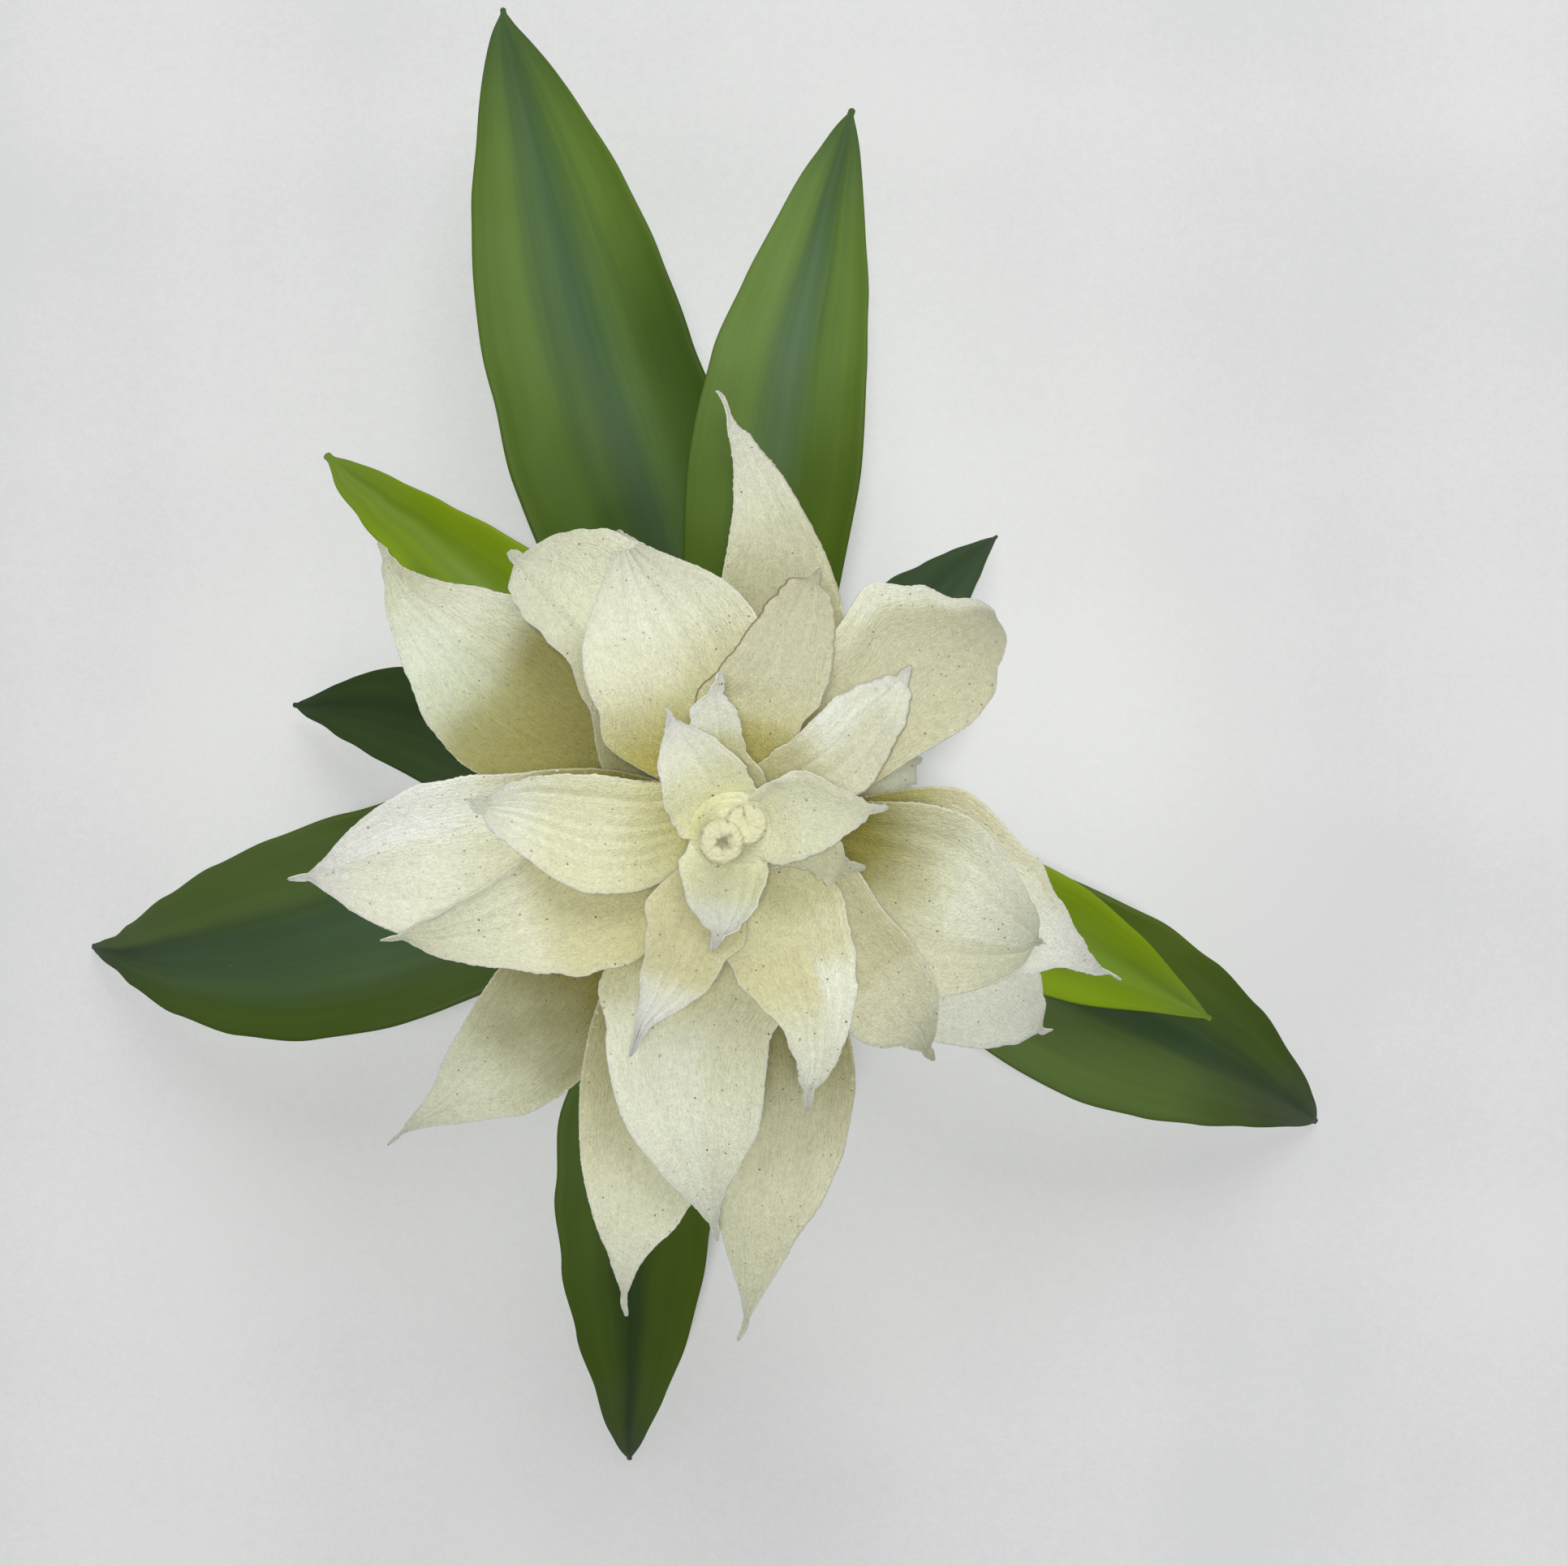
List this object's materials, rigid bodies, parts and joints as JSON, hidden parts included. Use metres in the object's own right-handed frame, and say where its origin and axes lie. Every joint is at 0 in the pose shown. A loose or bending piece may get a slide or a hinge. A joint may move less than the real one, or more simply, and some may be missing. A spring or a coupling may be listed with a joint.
{
  "type": "bromeliad plant",
  "caption": "Bromeliad without its pot: strap leaves arching from a short stock round an upright spike with a head of pointed cream bracts and a pair of closed buds.",
  "frame": {"origin": "centre of the flat cut foot of the stock, on the surface that the plant stands on", "axes": "+Z up along the spike; +Y towards the longest leaf's side, the plan's longest extent; +X to the right seen from above with +Y up"},
  "size_m": [0.3749, 0.4289, 0.2183],
  "materials": {
    "stock": "satin",
    "leaf_dark": "satin",
    "leaf_mid": "satin",
    "leaf_young": "satin",
    "bract": "matte",
    "bud": "matte"
  },
  "bodies": {
    "root": {"stem": "stock", "leaf_low_left": "leaf_dark", "leaf_low_right": "leaf_dark", "leaf_low_front": "leaf_dark", "leaf_mid_back": "leaf_mid", "leaf_mid_left": "leaf_mid", "leaf_mid_right": "leaf_mid", "leaf_high_back": "leaf_mid", "leaf_high_right": "leaf_young", "leaf_high_left": "leaf_young", "bract_1_back": "bract", "bract_1_left": "bract", "bract_1_right": "bract", "bract_2_left": "bract", "bract_2_front": "bract", "bract_2_right": "bract", "bract_3_left": "bract", "bract_3_front": "bract", "bract_3_right": "bract", "bract_4_right": "bract", "bract_4_left": "bract", "bract_5_back": "bract", "bract_5_front": "bract", "bract_5_right": "bract", "bract_6_back": "bract", "bract_6_left": "bract", "bract_6_right": "bract", "bract_7_right": "bract", "bract_7_left": "bract", "bract_7_front": "bract", "bract_8_back": "bract", "bract_8_front": "bract", "bract_8_right": "bract", "bract_9_back": "bract", "bract_9_right": "bract", "bract_9_front": "bract", "bud_pair": "bud"}
  },
  "joints": []
}
